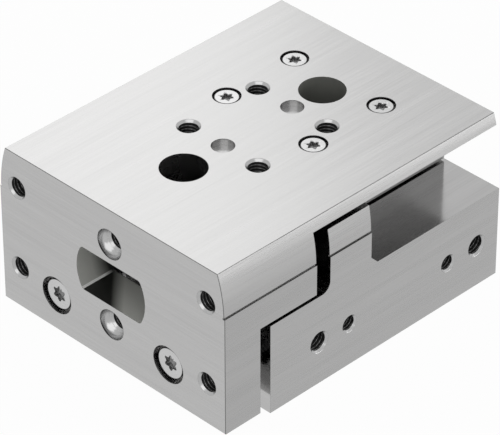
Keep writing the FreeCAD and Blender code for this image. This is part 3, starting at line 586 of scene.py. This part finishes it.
# Turns +Z to the axis and moves the origin to the point
def seat(point, axis):
    turn = Vector((0, 0, 1)).rotation_difference(Vector(axis)).to_matrix().to_4x4()
    return Matrix.Translation(point) @ turn


# Inside threads: a smooth cone at the mouth, then a helical ridge whose groove deepens over its first turn
threadRidge = {"segments": 48, "ringsPerTurn": 14, "depthShare": 0.5413, "crestShare": 0.16,
               "rootShare": 0.125, "wallGap": 0.006, "leastWall": 0.002, "mouthLip": 0.1, "lipGap": 0.016,
               "fadeIn": 0.9, "crestBand": 0.02, "crestPaintedLit": 0.42}

threadSets = {
    "tableThreads": {"mount": "table_threads", "pitch": 0.8, "start": 0.0, "length": 5.8,
                     "body": "slide_unit"},
    "yokeThreads": {"mount": "yoke_threads", "pitch": 0.8, "start": 0.0, "length": 8.95,
                    "body": "slide_unit"},
    "centringThreads": {"mount": "yoke_centring_threads", "pitch": 0.8, "start": -1.0, "length": 7.8,
                        "body": "slide_unit"},
    "portThreads": {"mount": "supply_ports", "pitch": 0.8, "start": 0.0, "length": 5.6,
                    "body": "housing_unit"},
    "accessoryThreads": {"mount": "accessory_threads", "pitch": 0.7, "start": 0.0, "length": 5.7,
                         "body": "housing_unit"},
}


# Radius of a thread at a phase of its turn, 0 to 1
def threadRadius(phase, holeR, pitch):
    depth = threadRidge["depthShare"] * pitch
    crest, root = threadRidge["crestShare"], threadRidge["rootShare"]
    flank = (1 - crest - root) / 2
    if phase < crest:
        return holeR - depth
    if phase < crest + flank:
        return holeR - depth * (1 - (phase - crest) / flank)
    if phase < crest + flank + root:
        return holeR
    return holeR - depth * (phase - crest - flank - root) / flank


# A sleeve that lines the hole: the ridge inside, a plain back that follows the hole and its lip
def addThread(mesh, place, holeR, look):
    paintedLit = mesh.verts.layers.float["paintedLit"]
    segments, gap, lip = threadRidge["segments"], threadRidge["wallGap"], threadRidge["mouthLip"]
    pitch, start, leastWall = look["pitch"], look["start"], threadRidge["leastWall"]
    root = holeR - gap - leastWall
    crest = threadRadius(0.0, root, pitch)
    levels = [gap]
    while levels[-1] < look["length"]:
        levels.append(levels[-1] + pitch / threadRidge["ringsPerTurn"])
    rings = []
    for level in levels:
        cone = holeR + lip - level - threadRidge["lipGap"]
        deepest = crest + max(crest - cone, 0.0) * threadRidge["fadeIn"]
        ridges = [min(threadRadius((level / pitch + i / segments) % 1, root, pitch), deepest)
                  for i in range(segments)]
        ring = ringOf(mesh, [max(ridge, cone) * mm for ridge in ridges], -(start + level) * mm, place)
        # Crests get part of the painted highlight, the mouth cone all of it, the flanks stay in painted
        # shade
        for vert, ridge in zip(ring, ridges):
            onCrest = threadRidge["crestPaintedLit"] if ridge < crest + threadRidge["crestBand"] else 0.0
            vert[paintedLit] = 1.0 if cone >= ridge else onCrest
        rings.append(ring)
    wallR = holeR - gap
    backs = [ringOf(mesh, [radius * mm] * segments, -(start + depth) * mm, place)
             for radius, depth in ((wallR, levels[-1]), (wallR, lip + gap), (wallR + lip - leastWall, gap))]
    around = rings + backs + rings[:1]
    for upper, lower in zip(around, around[1:]):
        bridge(mesh, upper, lower)


# The seat round a centring thread: a straight rim, then a rounded corner and a cone to the thread
bowlLook = {"mount": "yoke_centring_seats", "seatDepth": 1.085, "cornerStart": 0.16, "cornerR": 2.1,
            "cornerTurn": 45, "mouthR": 2.63, "mouthDepth": 1.93, "gap": 0.015, "segments": 64, "steps": 12}


def addBowl(mesh, place, seatR):
    paintedLit = mesh.verts.layers.float["paintedLit"]
    segments, gap, cornerR = bowlLook["segments"], bowlLook["gap"], bowlLook["cornerR"]
    wallR = seatR - gap
    profile = [(wallR - gap, -gap)]
    for i in range(bowlLook["steps"] + 1):
        turn = math.radians(bowlLook["cornerTurn"]) * i / bowlLook["steps"]
        profile.append((wallR - gap - cornerR * (1 - math.cos(turn)),
                        -bowlLook["cornerStart"] - cornerR * math.sin(turn)))
    profile += [(bowlLook["mouthR"], -bowlLook["mouthDepth"]), (wallR, -bowlLook["seatDepth"]),
                (wallR, -gap)]
    rings = [ringOf(mesh, [radius * mm] * segments, height * mm, place) for radius, height in profile]
    for ring in rings:
        for vert in ring:
            vert[paintedLit] = 1.0
    for upper, lower in zip(rings, rings[1:] + rings[:1]):
        bridge(mesh, upper, lower)


def makeBowls():
    mesh = bmesh.new()
    mesh.verts.layers.float.new("paintedLit")
    centres, axis = holePattern(bowlLook["mount"])
    for centre in centres:
        addBowl(mesh, seat(centre, axis), mounts[bowlLook["mount"]]["dims"]["hole_r_mm"])
    bmesh.ops.recalc_face_normals(mesh, faces=mesh.faces)
    piece = newPiece("centringSeats", mesh, "slide_unit", ["cutThread"])
    piece.data.set_sharp_from_angle(angle=math.radians(sharpAngle))


def makeThreads():
    for name, look in threadSets.items():
        mesh = bmesh.new()
        mesh.verts.layers.float.new("paintedLit")
        centres, axis = holePattern(look["mount"])
        holeR = mounts[look["mount"]]["dims"]["hole_r_mm"]
        for centre in centres:
            addThread(mesh, seat(centre, axis), holeR, look)
        bmesh.ops.recalc_face_normals(mesh, faces=mesh.faces)
        newPiece(name, mesh, look["body"], ["cutThread"])


makeThreads()
makeBowls()
print("threads and seats cut")


# Cheese-head screws with a six-lobe socket, the shares taken of the lobes' outline
railScrewLook = {"node": "slide_rail_screws", "nodeHeadR": 2.75, "headR": 2.72, "headHeight": 2.4,
                 "edge": 0.22, "lobeOuter": 1.44, "lobeInner": 1.0, "lobeDepth": 1.2, "shankR": 1.47,
                 "shankLength": 7.9, "segments": 96, "tipChamfer": 0.3, "underEdge": 0.15, "flatShare": 0.8,
                 "edgeLip": 0.03, "mouthShare": 1.09, "mouthDepth": 0.09, "floorShare": 0.97,
                 "coneShare": 0.45, "coneDepth": 0.25, "lobes": 6, "lobePower": 1.2, "ringSlope": 0.3}
rodScrewLook = {**railScrewLook, "node": "rod_screws", "nodeHeadR": 3.5, "headR": 3.47, "headHeight": 3.1,
                "edge": 0.12, "lobeOuter": 1.86, "lobeInner": 1.3, "shankR": 1.97, "shankLength": 14.9}


# Outline of the socket: narrow rounded lobes with wider hollows between them
def lobeRadii(look, share):
    radii = []
    for i in range(look["segments"]):
        wave = (1 - math.cos(look["lobes"] * math.tau * i / look["segments"])) / 2
        reach = look["lobeInner"] + (look["lobeOuter"] - look["lobeInner"]) * wave ** look["lobePower"]
        radii.append(reach * share * mm)
    return radii


def addScrew(mesh, place, look):
    count = look["segments"]
    turnRadius, paintedLit = mesh.verts.layers.float["turnRadius"], mesh.verts.layers.float["paintedLit"]
    headR, shankR, edge, tip = look["headR"], look["shankR"], look["edge"], look["tipChamfer"]
    underHead, underEdge, lobeDepth = -look["headHeight"], look["underEdge"], look["lobeDepth"]

    # Each ring carries its radius for the turning rings and a value for painted shade: 0 paints the rim,
    # sides and shank dark, 1 leaves the top face and socket outline unshaded
    def marked(ring, radii, paintedLitValue):
        for vert, radius in zip(ring, radii):
            vert[turnRadius] = radius
            vert[paintedLit] = paintedLitValue
        return ring

    def plain(radius, height, paintedLitValue=0.0):
        ring = ringOf(mesh, [radius * mm] * count, height * mm, place)
        return marked(ring, [(radius + look["ringSlope"] * height) * mm] * count, paintedLitValue)

    def lobed(share, height):
        radii = lobeRadii(look, share)
        return marked(ringOf(mesh, radii, height * mm, place), radii, 1.0)

    outside = [plain(shankR - tip, underHead - look["shankLength"]),
               plain(shankR, underHead - look["shankLength"] + tip),
               plain(shankR, underHead),
               plain(headR - underEdge, underHead),
               plain(headR, underHead + underEdge),
               plain(headR, -edge)]
    for turn in (30, 60, 90):
        across, up = math.cos(math.radians(turn)), math.sin(math.radians(turn))
        outside.append(plain(headR - edge * (1 - across), edge * (up - 1)))
    outside.append(plain(headR - edge - look["edgeLip"], 0.0, 1.0))
    outside.append(plain((headR - edge) * look["flatShare"], 0.0, 1.0))
    outside.append(lobed(look["mouthShare"], 0.0))
    for first, second in zip(outside, outside[1:]):
        bridge(mesh, first, second)
    rim = lobed(1.0, -look["mouthDepth"])
    bridge(mesh, outside[-1], rim)
    floor = lobed(look["floorShare"], -lobeDepth)
    bridge(mesh, rim, floor, 1)
    cone = lobed(look["coneShare"], -lobeDepth - look["coneDepth"])
    bridge(mesh, floor, cone, 1)
    mesh.faces.new(cone).material_index = 1
    mesh.faces.new(outside[0][::-1])


def makeScrews(name, look, axis):
    low, high = (Vector(corner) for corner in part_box(look["node"]))
    headR = look["nodeHeadR"] * mm
    mesh = bmesh.new()
    for layer in ("turnRadius", "paintedLit"):
        mesh.verts.layers.float.new(layer)
    if axis[2] > 0:
        spots = [Vector((x, y, high.z)) for x in (low.x + headR, high.x - headR)
                 for y in (low.y + headR, high.y - headR)]
    else:
        spots = [Vector((x, low.y, (low.z + high.z) / 2)) for x in (low.x + headR, high.x - headR)]
    for spot in spots:
        addScrew(mesh, seat(spot, axis), look)
    bmesh.ops.recalc_face_normals(mesh, faces=mesh.faces)
    piece = newPiece(name, mesh, "slide_unit", ["screwHead", "screwSocket"])
    piece.data.set_sharp_from_angle(angle=math.radians(sharpAngle))
    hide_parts(look["node"])


makeScrews("railScrews", railScrewLook, (0, 0, 1))
makeScrews("rodScrews", rodScrewLook, (0, -1, 0))
print("screws made")


# Floor, light and camera
floorLook = {"radius": 1.6, "segments": 96, "drop": 0.02, "colour": grey(0.82), "whiteShare": 0.96}


def makeFloor():
    mesh = bmesh.new()
    bmesh.ops.create_circle(mesh, cap_ends=True, segments=floorLook["segments"], radius=floorLook["radius"])
    data = bpy.data.meshes.new("studioFloor")
    mesh.to_mesh(data)
    mesh.free()
    floor = bpy.data.objects.new("studioFloor", data)
    bpy.context.scene.collection.objects.link(floor)
    floor.location.z = -floorLook["drop"] * mm
    material = bpy.data.materials.new("studioFloor")
    material.use_nodes = True
    tree = material.node_tree
    tree.nodes.clear()
    paint = put(tree, "ShaderNodeBsdfDiffuse", {"Color": floorLook["colour"]}).outputs[0]
    white = put(tree, "ShaderNodeEmission", {"Color": grey(1.0), "Strength": 1.0}).outputs[0]
    path = put(tree, "ShaderNodeLightPath").outputs
    seen = sums(tree, "MAXIMUM", path["Is Camera Ray"], path["Is Glossy Ray"])
    share = sums(tree, "MULTIPLY", seen, floorLook["whiteShare"])
    mixed = put(tree, "ShaderNodeMixShader", {0: share, 1: paint, 2: white}).outputs[0]
    put(tree, "ShaderNodeOutputMaterial", {"Surface": mixed})
    data.materials.append(material)


worldLook = {"ambient": 0.55, "backdrop": 1.0}


def makeWorld():
    world = bpy.data.worlds.new("studioWorld")
    bpy.context.scene.world = world
    world.use_nodes = True
    tree = world.node_tree
    tree.nodes.clear()
    path = put(tree, "ShaderNodeLightPath").outputs
    seen = sums(tree, "MAXIMUM", path["Is Camera Ray"], path["Is Glossy Ray"])
    seen = sums(tree, "MAXIMUM", seen, path["Is Transmission Ray"])
    strength = spread(tree, seen, worldLook["ambient"], worldLook["backdrop"])
    light = put(tree, "ShaderNodeBackground", {"Color": grey(1.0), "Strength": strength}).outputs[0]
    put(tree, "ShaderNodeOutputWorld", {"Surface": light})


# Place, aim and size in metres, power in watts
lampLooks = {
    "keyLamp": {"place": (-0.536, 0.265, 0.431), "aim": (0, 0, 0.03), "size": (0.45, 0.45), "power": 0.47},
    "sideLamp": {"place": (0.55, 0.42, 0.135), "aim": (0, 0, 0.03), "size": (0.6, 0.26), "power": 1.0},
    "glintLamp": {"place": (0.35, -0.53, 0.57), "aim": (0, 0, 0.02), "size": (0.9, 0.8), "power": 2.0},
}


def makeLamps():
    for name, look in lampLooks.items():
        data = bpy.data.lights.new(name, "AREA")
        data.shape = "RECTANGLE"
        data.size, data.size_y = look["size"]
        data.energy = look["power"]
        lamp = bpy.data.objects.new(name, data)
        bpy.context.scene.collection.objects.link(lamp)
        lamp.location = look["place"]
        towards = Vector(look["aim"]) - Vector(look["place"])
        lamp.rotation_euler = towards.to_track_quat("-Z", "Y").to_euler()


cameraLook = {"azimuth": 44.96, "elevation": 35.29, "distance": 0.7749, "lens": 269.4, "sensor": 36.0,
              "target": (0.001264, 0.001578, 0.019322), "shiftX": -0.023, "shiftY": -0.0116,
              "clip": (0.05, 20.0)}


def makeCamera():
    azimuth, elevation = math.radians(cameraLook["azimuth"]), math.radians(cameraLook["elevation"])
    back = Vector((math.sin(azimuth) * math.cos(elevation), -math.cos(azimuth) * math.cos(elevation),
                   math.sin(elevation)))
    data = bpy.data.cameras.new("studioCamera")
    data.lens = cameraLook["lens"]
    data.sensor_width = cameraLook["sensor"]
    data.shift_x, data.shift_y = cameraLook["shiftX"], cameraLook["shiftY"]
    data.clip_start, data.clip_end = cameraLook["clip"]
    camera = bpy.data.objects.new("studioCamera", data)
    bpy.context.scene.collection.objects.link(camera)
    camera.location = Vector(cameraLook["target"]) + back * cameraLook["distance"]
    camera.rotation_euler = (-back).to_track_quat("-Z", "Y").to_euler()
    bpy.context.scene.camera = camera


makeFloor()
makeWorld()
makeLamps()
makeCamera()
bpy.context.scene.view_settings.view_transform = "Standard"
print("floor, lamps and camera placed")
